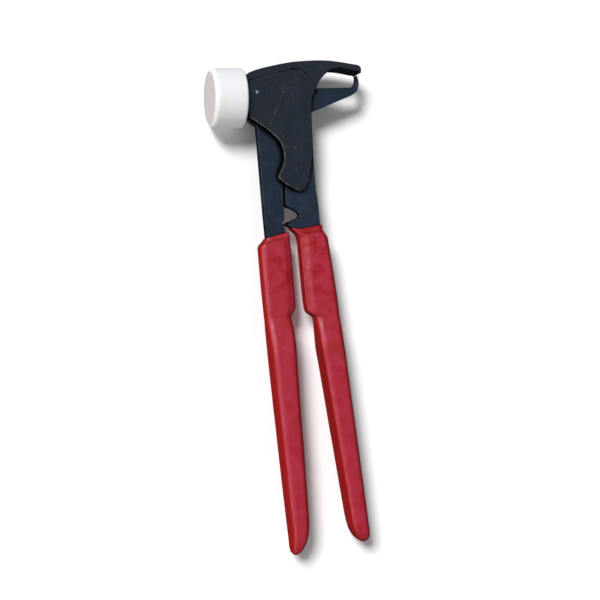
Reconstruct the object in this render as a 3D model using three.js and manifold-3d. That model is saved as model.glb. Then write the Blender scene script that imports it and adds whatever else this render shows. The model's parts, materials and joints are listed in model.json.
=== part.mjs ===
// Wheel-weight plier with a hammer tip: a riveted steel head with a hammer boss, a top beak and a
// swinging lower jaw, a cutter notch between the two levers, and two dipped plastic grips.
//
// Millimetres. +X runs along the hammer axis towards the beak, +Y up the head, +Z out of the front cheek.
// The handles hang down along -Y. The pieces are drawn from the pivot axis at mid thickness; the finished
// group is then moved so that its origin is the centre of the striking face.

import * as THREE from 'three';
import { mergeVertices } from 'three/addons/utils/BufferGeometryUtils.js';
import Module from 'manifold-3d';

const wasm = await Module();
wasm.setup();

// ---- Driving dimensions ------------------------------------------------------------------------

// Thicknesses, as half heights above and below the middle plane
const LEVER_HALF = 2.5;
const CORE_HALF = 3.0;
const BAND_HALF = 6.3;
const CHEEK_TOP = 6.6;
const BOSS_HALF = 4.6;

// Pivot
const PIVOT_RADIUS = 4.0;
const PIVOT_HEAD_RADIUS = 5.8;
const BUSH_RADIUS = 5.5;
const WASHER_RADIUS = 8.6;
const WASHER_THICKNESS = 0.4;
const KNUCKLE_RADIUS = 10.0;
const KNUCKLE_ROOM = 10.7;

// Hammer tip and its stud
const HAMMER_Y = 6.8;
const HEAD_LEFT = -24.4;
const TIP_REAR = -25.5;
const TIP_LENGTH = 18.0;
const TIP_RADIUS = 16.0;
const TIP_FACE_FILLET = 2.6;
const TIP_REAR_FILLET = 1.2;
const INSERT_RADIUS = 5.5;
const INSERT_LENGTH = 12.0;
const STUD_RADIUS = 3.0;
const STUD_LEFT = -36.0;
const STUD_RIGHT = -13.6;
const BOSS_LOW = 1.9;
const BOSS_HIGH = 12.2;
const BOSS_RIGHT = -11.4;
const BOSS_WASHER_RADIUS = 9.0;
const BOSS_WASHER_GAP = 0.1;
const LOCK_PIN_RADIUS = 0.8;
const LOCK_PIN_X = -18.6;
const LOCK_PIN_Y = HAMMER_Y + 2.4;

// Flush rivets: place, shank radius
const RIVETS = [
  { name: 'boss_rivet', x: -13.4, y: 14.2, radius: 2.0 },
  { name: 'spine_rivet_left', x: -3.6, y: 16.4, radius: 2.0 },
  { name: 'spine_rivet_right', x: 6.4, y: 15.2, radius: 2.0 },
  { name: 'tail_rivet_upper', x: 7.0, y: -18.6, radius: 2.5 },
  { name: 'tail_rivet_lower', x: 1.6, y: -32.8, radius: 2.5 },
];

// Clearances and facets
const PIN_GAP = 0.06;
const PART_GAP = 0.3;
const BOSS_GAP = 0.25;
const RIVET_HEAD_STEP = 0.9;
const ROUND_FACETS = 24;
const CURVE_FACETS = 4;

// Grip: how far the steel tang lies inside it, and the radius of its outer corners
const TANG_INSET = 1.75;
const GRIP_CORNER = 2.4;

// Tang: how far it and its hollow start above the dipping line, the distances below that line at which
// the collar sits, the flat blade ends and the full tang begins, and how far it stops short of the end
const TANG_LEAD = 2.5;
const HOLLOW_LEAD = 6;
const COLLAR_DEPTH = 1.5;
const BLADE_DEPTH = 3;
const FULL_DEPTH = 7;
const TANG_SHORTFALL = 5;
const BLADE_SKIN = 0.1;

// ---- Materials ---------------------------------------------------------------------------------

const finish = (color, roughness, metalness) =>
  new THREE.MeshStandardMaterial({ color, roughness, metalness });
const cheekSteel = () => finish(0x23292f, 0.55, 0.6);
const bandSteel = () => finish(0x242c33, 0.5, 0.6);
const leverSteel = () => finish(0x26303d, 0.5, 0.6);
const plainSteel = () => finish(0x8a8d90, 0.4, 0.9);
const bronze = () => finish(0x9a7440, 0.4, 0.9);
const nylon = () => finish(0xeeece6, 0.45, 0.0);
const redPlastic = () => finish(0xa82f38, 0.35, 0.0);

// ---- Geometry helpers --------------------------------------------------------------------------

const v2 = ([x, y]) => new THREE.Vector2(x, y);

// Closed geometry to manifold solid, and back.
function solidOf(geometry) {
  const bare = geometry.clone();
  bare.deleteAttribute('normal');
  bare.deleteAttribute('uv');
  const merged = mergeVertices(bare, 1e-4);
  const vertProperties = new Float32Array(merged.attributes.position.array);
  const triVerts = new Uint32Array(merged.index.array);
  return new wasm.Manifold(new wasm.Mesh({ numProp: 3, vertProperties, triVerts }));
}

function geometryOf(solid) {
  const mesh = solid.getMesh();
  const geometry = new THREE.BufferGeometry();
  geometry.setAttribute('position', new THREE.BufferAttribute(new Float32Array(mesh.vertProperties), 3));
  geometry.setIndex(new THREE.BufferAttribute(new Uint32Array(mesh.triVerts), 1));
  geometry.computeVertexNormals();
  return geometry;
}

const cut = (solid, ...tools) => tools.reduce((left, tool) => left.subtract(tool), solid);

// A shape from corner points; an entry { smooth: [...] } is a curve through its points, and
// { arc: [cx, cy, radius, fromDegrees, toDegrees] } is an arc, clockwise when the angle falls.
function outline(entries) {
  const shape = new THREE.Shape();
  shape.moveTo(...entries[0]);
  for (const entry of entries.slice(1)) {
    if (entry.smooth) {
      shape.splineThru(entry.smooth.map(v2));
    } else if (entry.arc) {
      const [cx, cy, radius, from, to] = entry.arc;
      const [a, b] = [from, to].map(THREE.MathUtils.degToRad);
      shape.absarc(cx, cy, radius, a, b, to < from);
    } else {
      shape.lineTo(...entry);
    }
  }
  return shape;
}

// A flat plate between two heights
function plate(shape, low, high) {
  const options = { depth: high - low, bevelEnabled: false, curveSegments: CURVE_FACETS };
  const geometry = new THREE.ExtrudeGeometry(shape, options);
  geometry.translate(0, 0, low);
  return solidOf(geometry);
}

// A turned piece: the profile is [radius, height] pairs, turned about Z, or about -X for the hammer.
function turned(profile, facets = ROUND_FACETS) {
  const geometry = new THREE.LatheGeometry(profile.map(v2), facets);
  geometry.rotateX(Math.PI / 2);
  return geometry;
}

const rod = (radius, low, high) => [[0, low], [radius, low], [radius, high], [0, high]];

const ring = (inner, outer, low, high) => [
  [inner, low], [outer, low], [outer, high], [inner, high], [inner, low],
];

// A rivet with a countersunk head at each end, flush with the cheeks; grow widens it into its own hole.
function rivetProfile(radius, headRadius, grow = 0) {
  const past = grow > 0 ? 1 : 0;
  const depth = headRadius - radius;
  const shank = radius + grow;
  const head = headRadius + grow;
  return [
    [0, -CHEEK_TOP - past], [head, -CHEEK_TOP - past], [head, -CHEEK_TOP], [shank, -CHEEK_TOP + depth],
    [shank, CHEEK_TOP - depth], [head, CHEEK_TOP], [head, CHEEK_TOP + past], [0, CHEEK_TOP + past],
  ].filter((point, i, all) => i === 0 || point[0] !== all[i - 1][0] || point[1] !== all[i - 1][1]);
}

const headRadiusOf = (radius) => radius + RIVET_HEAD_STEP;

function rivetHole(x, y, radius, headRadius) {
  const geometry = turned(rivetProfile(radius, headRadius, PIN_GAP));
  geometry.translate(x, y, 0);
  return solidOf(geometry);
}

const rivetHoles = (rivets) => rivets.map((r) => rivetHole(r.x, r.y, r.radius, headRadiusOf(r.radius)));

function roundHole(x, y, radius, half) {
  const geometry = turned(rod(radius, -half, half));
  geometry.translate(x, y, 0);
  return solidOf(geometry);
}

// A turned piece laid along the hammer axis: its height is measured from x towards the striking face.
function alongHammer(geometry, x) {
  geometry.rotateY(-Math.PI / 2);
  geometry.translate(x, HAMMER_Y, 0);
  return geometry;
}

// ---- Outlines of the flat pieces ---------------------------------------------------------------

// Top of the head, from the hammer side to the nose of the beak
const TOP_EDGE = [
  [-17.5, 21.6], [-8.4, 23.8], [0.7, 25.6], [9.5, 26.5], [18.5, 26.9], [26.5, 26.5], [39.4, 24.7],
];
const NOSE = [[40.9, 24.0], [41.6, 22.5], [41.5, 20.9]];
// Underside of the beak and the throat behind it, back to the root of the lower jaw
const THROAT = [
  [40.9, 20.2], [34.2, 21.35], [26.6, 22.35], [24.0, 21.8], [20.2, 18.95], [16.5, 14.5], [14.95, 11.2],
];

// Top and throat-side edge of a cheek, where it meets the core's raised band
const CHEEK_TOP_EDGE = [[-15.3, 17.6], [-7.9, 19.6], [0.6, 21.2], [6.5, 21.6]];
const CHEEK_THROAT_EDGE = [[10.1, 17.7], [14.2, 12.0], [14.2, 10.4], [12.6, 6.2], [11.9, 2.0]];

function coreWebOutline() {
  return outline([
    [HEAD_LEFT, 1.3],
    [HEAD_LEFT, 18.0],
    { smooth: [[-22.6, 19.6], ...TOP_EDGE] },
    { smooth: NOSE },
    { smooth: THROAT },
    [15.2, 10.7],
    [0.2, KNUCKLE_ROOM],
    { arc: [0, 0, KNUCKLE_ROOM, 89, 173] },
  ]);
}

function coreBandOutline() {
  const seam = [...CHEEK_TOP_EDGE].reverse().map(([x, y]) => [x, y + PART_GAP]);
  return outline([
    [HEAD_LEFT, 15.0],
    [HEAD_LEFT, 18.0],
    { smooth: [[-22.6, 19.6], ...TOP_EDGE] },
    { smooth: NOSE },
    { smooth: THROAT },
    [14.55, 11.3],
    [14.5, 12.0],
    [10.4, 17.95],
    { smooth: seam },
    { smooth: [[-21.0, 16.0]] },
  ]);
}

function cheekOutline() {
  return outline([
    [-24.0, -3.7],
    [-24.0, 14.5],
    { smooth: [[-21.0, 15.7], ...CHEEK_TOP_EDGE] },
    ...CHEEK_THROAT_EDGE.slice(0, 2),
    { smooth: CHEEK_THROAT_EDGE.slice(2) },
    { smooth: [[11.7, -5.8], [11.8, -18.3], [11.1, -26.5], [9.4, -35.2], [8.6, -38.9]] },
    [6.7, -42.7],
    [3.1, -44.5],
    [-4.0, -40.6],
    [-8.2, -37.3],
    [-8.3, -35.6],
    { smooth: [[-5.5, -30.1], [-4.6, -26.1], [-5.1, -21.6], [-6.8, -17.1], [-10.4, -13.5], [-14.8, -9.8]] },
  ]);
}

// Lever that carries the lower jaw. Its knuckle turns between the cheeks, and its left shoulder comes
// up against the core when the handles are fully open.
function jawLeverOutline() {
  return outline([
    [-15.6, -69.0],
    [-16.3, -56.9],
    [-17.7, -24.2],
    [-18.5, -7.0],
    [-18.4, -6.2],
    { arc: [0, 0, KNUCKLE_RADIUS, 197, 90] },
    [15.4, 9.9],
    { smooth: [[15.7, 10.8], [16.4, 12.2]] },
    [36.2, 12.8],
    { smooth: [[38.2, 13.6], [39.5, 15.8], [39.9, 19.3]] },
    [40.4, 19.2],
    { smooth: [[41.1, 17.0], [41.2, 14.4], [39.7, 10.6], [36.6, 8.4]] },
    [9.8, -2.1],
    { arc: [0, 0, KNUCKLE_RADIUS, -12, -80] },
    { smooth: [[-0.9, -17.0], [-3.6, -26.0], [-4.7, -36.0], [-4.9, -50.0]] },
    { smooth: [[-4.9, -57.0], [-5.4, -59.7], [-6.5, -61.4]] },
    { smooth: [[-6.1, -62.6], [-5.2, -64.2], [-4.8, -66.6]] },
    [-5.2, -69.0],
  ]);
}

// Lever fixed between the cheek tails, with the cutter notch in its inner edge
function fixedLeverOutline() {
  return outline([
    [15.1, -66.8],
    [15.1, -62.4],
    { smooth: [[14.3, -49.2], [13.5, -42.6], [13.0, -30.0], [12.9, -18.0], [12.2, -8.2]] },
    [7.6, -8.2],
    { arc: [0, 0, KNUCKLE_ROOM, -50, -66] },
    { smooth: [[0.9, -16.8], [-2.5, -26.0], [-3.7, -36.0], [-4.2, -48.0]] },
    { smooth: [[-4.2, -50.8], [-3.3, -52.5]] },
    [-0.9, -53.5],
    { smooth: [[2.0, -55.0], [3.7, -57.0], [2.9, -58.4]] },
    [-2.6, -60.6],
    { smooth: [[-3.7, -61.2], [-5.2, -62.3]] },
    { smooth: [[-3.1, -63.0], [-1.1, -64.3], [0.6, -65.4]] },
    [2.2, -66.8],
  ]);
}

// ---- Lofted handles ----------------------------------------------------------------------------

// Function of the distance down the handle through [distance, value] knots: a smooth one for an edge,
// a straight-line one for a thickness
function through(Interpolant, knots) {
  const curve = new Interpolant(knots.map((k) => k[0]), knots.map((k) => k[1]), 1);
  return (distance) => curve.evaluate(distance)[0];
}
const smoothly = (knots) => through(THREE.CubicInterpolant, knots);
const straight = (knots) => through(THREE.LinearInterpolant, knots);

// One closed section across a handle. The outer side has round corners; the inner side has a sloping
// shoulder of the given width and drop, and a smaller round corner.
function handleSection(outerX, innerX, half, shoulder, drop, corner) {
  const width = Math.abs(innerX - outerX);
  const direction = Math.sign(innerX - outerX);
  const edgeCorner = Math.min(corner * 0.65, half - drop - 0.2);
  const upper = [];
  for (const angle of [180, 150, 120, 90]) {
    const a = THREE.MathUtils.degToRad(angle);
    upper.push([corner + corner * Math.cos(a), half - corner + corner * Math.sin(a)]);
  }
  upper.push([width - shoulder, half]);
  for (const angle of [60, 30, 0]) {
    const a = THREE.MathUtils.degToRad(angle);
    upper.push([
      width - edgeCorner + edgeCorner * Math.cos(a),
      half - drop - edgeCorner + edgeCorner * Math.sin(a),
    ]);
  }
  const lower = upper.map(([t, z]) => [t, -z]).reverse();
  const section = [...upper, ...lower].map(([t, z]) => [outerX + direction * t, z]);
  return direction > 0 ? section.reverse() : section;
}

// Skin over a row of sections, each a list of [x, y, z] points, closed by a fan at both ends
function loft(sections) {
  const count = sections[0].length;
  const positions = sections.flat(2);
  const index = [];
  for (let s = 0; s + 1 < sections.length; s += 1) {
    for (let i = 0; i < count; i += 1) {
      const j = (i + 1) % count;
      const [a, b] = [s * count + i, s * count + j];
      index.push(a, b, a + count, b, b + count, a + count);
    }
  }
  const last = (sections.length - 1) * count;
  for (let i = 1; i + 1 < count; i += 1) {
    index.push(0, i + 1, i);
    index.push(last, last + i, last + i + 1);
  }
  const geometry = new THREE.BufferGeometry();
  geometry.setAttribute('position', new THREE.Float32BufferAttribute(positions, 3));
  geometry.setIndex(index);
  return geometry;
}

// Each handle is given by its outer edge, inner edge, half thickness, shoulder width and shoulder drop,
// and by the lean of its top edge, which follows the dipping line.
const JAW_HANDLE = {
  outer: smoothly([[67.9, -16.3], [68.4, -16.6], [70.4, -18.85], [71.4, -19.6], [72.6, -19.85],
    [75, -19.75], [104, -18.4], [119, -17.2], [127.5, -16.35], [136, -15.65], [177, -12.8],
    [218.5, -9.75], [228, -8.95], [234, -8.65], [239, -8.5], [241, -7.9], [242.1, -6.9]]),
  inner: smoothly([[67.9, -3.4], [69.2, -2.85], [71.4, -2.6], [92.9, -1.5], [103.6, -0.87],
    [106.8, -0.9], [109, -1.45], [111.1, -3.0], [112.2, -3.55], [113.4, -3.4], [120, -2.5],
    [144, -1.95], [177, -0.65], [209.5, 0.5], [221, 0.8], [227.4, 0.85], [232.5, 0.15],
    [237.5, -1.9], [240.2, -3.8], [242.1, -6.1]]),
  half: straight([[67.9, 3.5], [70, 3.7], [73, 4.5], [108, 4.5], [114, 5.0], [122, 6.4], [130, 7.8],
    [140, 8.0], [226, 8.0], [233, 7.5], [237.5, 6.4], [240.3, 4.8], [242.1, 2.6]]),
  shoulder: straight([[67.9, 1.4], [73, 4.4], [104, 4.4], [112, 1.8], [242.1, 1.4]]),
  drop: straight([[67.9, 0.8], [73, 1.4], [104, 1.4], [112, 1.2], [242.1, 0.8]]),
  lean: 0.25,
  top: 67.9,
  end: 242.1,
};

const FIXED_HANDLE = {
  outer: smoothly([[64.1, 16.5], [64.9, 16.7], [67.2, 16.85], [69.8, 18.45], [70.9, 19.05],
    [73.1, 19.45], [103.5, 23.25], [119, 24.6], [129.4, 25.35], [137.7, 26.2], [179.1, 30.4],
    [212.3, 33.5], [227.3, 34.95], [234.8, 35.95], [236.4, 35.6], [237.6, 34.7], [238.3, 33.6]]),
  inner: smoothly([[64.1, 0.0], [65.9, 1.4], [67, 2.05], [69.2, 2.6], [80.8, 3.4], [96, 4.2],
    [107, 5.1], [110.4, 6.05], [112.4, 9.0], [113.4, 9.9], [115, 10.2], [129, 11.5], [137.3, 12.75],
    [179.3, 18.6], [213, 23.14], [227.1, 25.1], [231.5, 26.2], [234.8, 27.9], [236.9, 29.8],
    [238.3, 32.0]]),
  half: straight([[64.1, 3.9], [67, 4.0], [70, 4.6], [106, 4.6], [112, 5.0], [120, 6.4], [128, 7.8],
    [138, 8.0], [223, 8.0], [230, 7.5], [234.5, 6.4], [237, 4.8], [238.3, 2.6]]),
  shoulder: straight([[64.1, 1.4], [70, 4.6], [104, 4.6], [113, 1.8], [238.3, 1.4]]),
  drop: straight([[64.1, 0.8], [70, 1.5], [104, 1.5], [113, 1.2], [238.3, 0.8]]),
  lean: 0.17,
  top: 64.1,
  end: 238.3,
};

// Stations down a handle: close together at the top, where it steps in below the pad, and at the end
const STEP_IN = 111;
const FROM_TOP = [0, 1.3, 2.6, 4, 5, 6, 7.5, 10, 20];
const FROM_STEP = [-9, -4, -2, -0.6, 0.6, 1.4, 2.4, 4, 8, 13, 19, 27, 49, 79];
const FROM_END = [-30, -16, -11, -7, -4, -2, -0.9, 0];

const stations = (top, end) => [
  ...FROM_TOP.map((distance) => top + distance),
  ...FROM_STEP.map((distance) => STEP_IN + distance),
  ...FROM_END.map((distance) => end + distance),
];

// The outside of a grip, whose top edge and first stretch lean with the dipping line
function gripOutside(handle) {
  return loft(stations(handle.top, handle.end).map((distance) => {
    const [outerX, innerX] = [handle.outer(distance), handle.inner(distance)];
    const half = handle.half(distance);
    const corner = Math.min(GRIP_CORNER, half * 0.6, Math.abs(outerX - innerX) * 0.45);
    const drop = handle.drop(distance);
    const shoulder = Math.min(handle.shoulder(distance), Math.abs(outerX - innerX) * 0.4);
    const middle = (outerX + innerX) / 2;
    const lean = handle.lean * (1 - THREE.MathUtils.smoothstep(distance, handle.top + 6, handle.top + 30));
    const section = handleSection(outerX, innerX, half, shoulder, drop, corner);
    return section.map(([x, z]) => [x, -distance + lean * (x - middle), z]);
  }));
}

// The steel tang inside a grip, from the blade down; grow widens it into the hollow of the grip
function tang(handle, blade, grow = 0) {
  const inward = Math.sign(handle.inner(handle.top) - handle.outer(handle.top));
  const start = handle.top - (grow > 0 ? HOLLOW_LEAD : TANG_LEAD);
  const collar = handle.top + COLLAR_DEPTH;
  const bladeEnd = handle.top + BLADE_DEPTH;
  const full = handle.top + FULL_DEPTH;
  const end = handle.end - TANG_SHORTFALL + grow;
  const inside = stations(handle.top, handle.end).filter((d) => d > full + 2 && d < end - 1);
  const places = [start, collar, bladeEnd, full, ...inside, end];
  return loft(places.map((distance) => {
    const blend = THREE.MathUtils.smoothstep(distance, bladeEnd, full);
    const lower = Math.max(distance, full);
    const mix = (a, b) => THREE.MathUtils.lerp(a, b, blend);
    const outerX = mix(blade.outer, handle.outer(lower) + inward * TANG_INSET) - inward * grow;
    const innerX = mix(blade.inner(distance), handle.inner(lower) - inward * TANG_INSET) + inward * grow;
    const half = mix(blade.half, handle.half(lower) - TANG_INSET) + grow;
    const width = Math.abs(outerX - innerX);
    const corner = Math.min(mix(0.4, 1.2), width * 0.3, half * 0.5);
    const shoulder = Math.min(mix(0.2, handle.shoulder(lower)), width * 0.4);
    const drop = mix(0.1, Math.min(handle.drop(lower), half * 0.5));
    const section = handleSection(outerX, innerX, half, shoulder, drop, corner);
    return section.map(([x, z]) => [x, -distance, z]);
  }));
}

// The stretch of each lever blade that enters its grip, held just inside the blade's faces
const JAW_BLADE = {
  outer: -15.5,
  inner: straight([[60, -4.7], [76, -4.7]]),
  half: LEVER_HALF - BLADE_SKIN,
};
const FIXED_BLADE = {
  outer: 15.0,
  inner: straight([[57, 0.4], [65.6, 0.9], [67.1, 2.5], [71.1, 4.4]]),
  half: CORE_HALF - BLADE_SKIN,
};

// ---- Sub-parts ---------------------------------------------------------------------------------

const group = new THREE.Group();

function add(name, geometry, material) {
  const mesh = new THREE.Mesh(geometry, material);
  mesh.name = name;
  group.add(mesh);
  return mesh;
}

const upperRivets = RIVETS.slice(0, 3);
const tailRivets = RIVETS.slice(3);
const pivotHole = () => rivetHole(0, 0, PIVOT_RADIUS, PIVOT_HEAD_RADIUS);
const lockPinHole = () => roundHole(LOCK_PIN_X, LOCK_PIN_Y, LOCK_PIN_RADIUS + PIN_GAP, CHEEK_TOP + 1);

function studHole() {
  const length = HEAD_LEFT - STUD_RIGHT - 1;
  return solidOf(alongHammer(turned(rod(STUD_RADIUS + PIN_GAP, length, 1)), HEAD_LEFT));
}

// The boss round the stud is thicker than the web and sits in a pocket in each cheek.
function bossBlock(grow = 0) {
  const [low, high] = [BOSS_LOW - grow, BOSS_HIGH + grow];
  const right = BOSS_RIGHT + grow;
  const left = HEAD_LEFT - (grow > 0 ? 1 : 0);
  return plate(outline([[left, low], [right, low], [right, high], [left, high]]),
    -BOSS_HALF - grow, BOSS_HALF + grow);
}

function headCore() {
  const web = plate(coreWebOutline(), -CORE_HALF, CORE_HALF);
  const band = plate(coreBandOutline(), -BAND_HALF, BAND_HALF);
  const clearOfKnuckle = roundHole(0, 0, KNUCKLE_ROOM + 0.05, BAND_HALF + 1);
  const body = web.add(band).add(cut(bossBlock(), clearOfKnuckle));
  return cut(body, studHole(), lockPinHole(), ...rivetHoles(upperRivets));
}

function cheek(side) {
  const [low, high] = side > 0 ? [CORE_HALF, CHEEK_TOP] : [-CHEEK_TOP, -CORE_HALF];
  const blank = plate(cheekOutline(), low, high);
  return cut(blank, bossBlock(BOSS_GAP), pivotHole(), lockPinHole(), ...rivetHoles(RIVETS));
}

function jawLever() {
  const blade = plate(jawLeverOutline(), -LEVER_HALF, LEVER_HALF);
  const body = blade.add(solidOf(tang(JAW_HANDLE, JAW_BLADE)));
  return cut(body, roundHole(0, 0, BUSH_RADIUS + PIN_GAP, LEVER_HALF + 1));
}

function fixedLever() {
  const blade = plate(fixedLeverOutline(), -CORE_HALF, CORE_HALF);
  const body = blade.add(solidOf(tang(FIXED_HANDLE, FIXED_BLADE)));
  return cut(body, ...rivetHoles(tailRivets));
}

function grip(handle, blade) {
  return cut(solidOf(gripOutside(handle)), solidOf(tang(handle, blade, PART_GAP)));
}

add('head_core', geometryOf(headCore()), bandSteel());
add('front_cheek', geometryOf(cheek(1)), cheekSteel());
add('rear_cheek', geometryOf(cheek(-1)), cheekSteel());
add('jaw_lever', geometryOf(jawLever()), leverSteel());
add('fixed_lever', geometryOf(fixedLever()), leverSteel());
add('jaw_grip', geometryOf(grip(JAW_HANDLE, JAW_BLADE)), redPlastic());
add('fixed_grip', geometryOf(grip(FIXED_HANDLE, FIXED_BLADE)), redPlastic());

// Pivot: a flush rivet through both cheeks, a bush pressed in the jaw lever, a thin washer each side
add('pivot_rivet', turned(rivetProfile(PIVOT_RADIUS, PIVOT_HEAD_RADIUS)), cheekSteel());
add('pivot_bush', turned(ring(PIVOT_RADIUS + PIN_GAP, BUSH_RADIUS, -LEVER_HALF, LEVER_HALF)), bronze());
for (const [name, side] of [['front_washer', 1], ['rear_washer', -1]]) {
  const half = WASHER_THICKNESS / 2;
  const washer = turned(ring(PIVOT_RADIUS + PIN_GAP, WASHER_RADIUS, -half, half));
  add(name, washer, plainSteel()).position.z = side * (LEVER_HALF + CORE_HALF) / 2;
}

for (const { name, x, y, radius } of RIVETS) {
  const rivet = add(name, turned(rivetProfile(radius, headRadiusOf(radius))), cheekSteel());
  rivet.position.set(x, y, 0);
}

// Hammer: nylon tip on a metal insert, screwed on a stud that a cross pin locks in the boss
const tipProfile = () => {
  const face = new THREE.Path();
  face.moveTo(TIP_RADIUS - TIP_REAR_FILLET, 0);
  face.lineTo(TIP_RADIUS, TIP_REAR_FILLET);
  face.lineTo(TIP_RADIUS, TIP_LENGTH - TIP_FACE_FILLET);
  face.absarc(TIP_RADIUS - TIP_FACE_FILLET, TIP_LENGTH - TIP_FACE_FILLET, TIP_FACE_FILLET, 0, Math.PI / 2);
  const socket = INSERT_LENGTH + PART_GAP;
  const bore = INSERT_RADIUS + PIN_GAP;
  return [[0, socket], [bore, socket], [bore, 0], ...face.getPoints(4).map((p) => [p.x, p.y]),
    [0, TIP_LENGTH]];
};

add('hammer_tip', alongHammer(turned(tipProfile(), 40), TIP_REAR), nylon());
const threadEnd = TIP_REAR - STUD_LEFT + PART_GAP;
const insertProfile = [
  [0, threadEnd], [STUD_RADIUS + PIN_GAP, threadEnd], [STUD_RADIUS + PIN_GAP, 0], [INSERT_RADIUS, 0],
  [INSERT_RADIUS, INSERT_LENGTH], [0, INSERT_LENGTH],
];
add('tip_insert', alongHammer(turned(insertProfile), TIP_REAR), plainSteel());

const studSolid = cut(
  solidOf(alongHammer(turned(rod(STUD_RADIUS, 0, STUD_RIGHT - STUD_LEFT)), STUD_RIGHT)), lockPinHole());
add('hammer_stud', geometryOf(studSolid), plainSteel());

const washerEnd = HEAD_LEFT - TIP_REAR - BOSS_WASHER_GAP;
const bossWasher = ring(STUD_RADIUS + PIN_GAP, BOSS_WASHER_RADIUS, BOSS_WASHER_GAP, washerEnd);
add('boss_washer', alongHammer(turned(bossWasher), HEAD_LEFT), plainSteel());

const lockPin = add('stud_lock_pin', turned(rod(LOCK_PIN_RADIUS, -CHEEK_TOP, CHEEK_TOP)), plainSteel());
lockPin.position.set(LOCK_PIN_X, LOCK_PIN_Y, 0);

const strikingFaceX = TIP_REAR - TIP_LENGTH;
group.position.set(-strikingFaceX, -HAMMER_Y, 0);

export default group;
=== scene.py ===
"""Looks of a wheel weight plier with a hammer tip, built round its CAD frame.

The steel pieces are the CAD solids with their flats merged and their edges rounded. The two dipped grips
are skinned as fine, slightly uneven sleeves, whose widths and heights are measured on their CAD solids.
The nylon tip is turned. Everything is in metres, in the frame's own axes.
"""

import json
import math

import bmesh
import bpy
import numpy as np
from mathutils import Matrix, Vector, noise
from mathutils.bvhtree import BVHTree
from mathutils.kdtree import KDTree

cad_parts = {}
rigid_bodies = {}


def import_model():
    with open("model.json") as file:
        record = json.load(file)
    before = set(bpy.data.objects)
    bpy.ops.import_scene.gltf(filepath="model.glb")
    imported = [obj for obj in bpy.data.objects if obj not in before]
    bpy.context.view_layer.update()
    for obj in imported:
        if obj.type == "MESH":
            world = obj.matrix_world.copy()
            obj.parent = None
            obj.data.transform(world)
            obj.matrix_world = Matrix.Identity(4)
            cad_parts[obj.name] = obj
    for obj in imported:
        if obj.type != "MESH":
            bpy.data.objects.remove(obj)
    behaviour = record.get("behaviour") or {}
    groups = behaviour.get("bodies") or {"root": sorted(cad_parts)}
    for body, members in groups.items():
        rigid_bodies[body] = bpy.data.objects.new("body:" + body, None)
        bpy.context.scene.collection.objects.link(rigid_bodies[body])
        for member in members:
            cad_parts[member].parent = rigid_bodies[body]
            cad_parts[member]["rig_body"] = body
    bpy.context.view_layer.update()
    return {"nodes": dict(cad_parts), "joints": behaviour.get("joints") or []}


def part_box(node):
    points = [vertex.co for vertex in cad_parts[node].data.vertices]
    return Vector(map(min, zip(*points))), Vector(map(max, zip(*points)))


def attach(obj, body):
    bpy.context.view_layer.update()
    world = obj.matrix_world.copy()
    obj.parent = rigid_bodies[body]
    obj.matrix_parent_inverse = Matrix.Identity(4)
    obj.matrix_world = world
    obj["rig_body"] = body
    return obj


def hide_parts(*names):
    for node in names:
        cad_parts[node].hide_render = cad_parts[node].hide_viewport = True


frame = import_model()

MM = 0.001
WELD = 0.002 * MM
PIVOT = Vector(frame["joints"][0]["pos_m"])

# ---- Driving sizes -------------------------------------------------------------------------------

# Steel: rounded edges, the seam between cheeks and core, and the blunter beak
EDGE_ROUND = 0.60 * MM
SEAM_ROUND = 0.13 * MM
SEAM_REACH = 0.7 * MM
SEAM_ABOVE = 11 * MM
SEAM_SHIFT = Vector((0.18, 0.25, 0)) * MM
ROUND_STEPS = 3
SHARP_ANGLE = math.radians(34)
NO_SHARP_ANGLE = math.radians(180)
FLAT_ANGLE = math.radians(0.6)
FLAT_WEIGHT = 80
RIVET_MARGIN = 0.5 * MM
SAME_PLACE = 0.01 * MM
BEAK_ROUND = 1.5 * MM
BEAK_STEPS = 5
BEAK_SPAN = (27.5 * MM, 38.5 * MM)
BEAK_CLEARANCE = 3 * MM
BEAK_SKIN = 0.1 * MM

# Grips: the leaning dip line, the step, the pad with its low rim, and the hollow
DIP_FADE = (6 * MM, 30 * MM)
STEP_BELOW_PIVOT = 0.111
GRIP_WAVE = 0.10 * MM
GRIP_WAVE_SIZE = 13 * MM
GRIP_WAVE_FADE = 6 * MM
RIM_WIDTH = 0.9 * MM
RIM_SLOPE = 4.0 * MM
UPPER_OUTER_ROUND = 3.3 * MM
UPPER_INNER_ROUND = 1.3 * MM
LOWER_ROUND = 3.4 * MM
END_LENGTH = 9 * MM
GRIP_HALF = 8.0 * MM
PAD_RISE = (1.6 * MM, 4.0 * MM)
STEP_FADE = (-1.5 * MM, 3.0 * MM)
LOWER_FADE = 12 * MM
TONGUE_WIDTH = (3.2 * MM, 0.6 * MM)
TONGUE_LENGTH = 2.6 * MM
GRIP_LIP = 0.4 * MM
LIP_RISE = 0.15 * MM
END_BULGE = 0.12 * MM
END_FLAT = 0.02
HOLLOW_SHARE = 0.94
HOLLOW_EVERY = 3
HOLLOW_SHORTFALL = 12 * MM
EDGE_PASSES = 3
SMOOTH_PASSES = 3

# The largest corner rounds of a grip, as parts of its half height and of its width
ROUND_LIMITS = (0.8, 0.42)

# Points along each part of a grip's half section
WALL_POINTS = 6
OUTER_POINTS = 11
PAD_POINTS = 12
SLOPE_POINTS = 9
RIM_POINTS = 5
INNER_POINTS = 9

# Places of the grips' rings in millimetres: below the dip line, about the step, and above the end
TOP_MARKS = [0.03, 0.3, 0.7, 1.2, 1.8, 2.4, 3.0, 3.6, 4.2, 4.8, 5.4, 6.2, 7.2, 8.4, 10.0, 12.0]
STEP_MARKS = np.arange(-7.0, 7.1, 0.6)
END_MARKS = [14.0, 12.0, 10.2, 8.6, 7.2, 5.9, 4.8, 3.8, 2.9, 2.1, 1.4, 0.8, 0.35, 0.12]
RING_SPACING = 2.4 * MM

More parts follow.
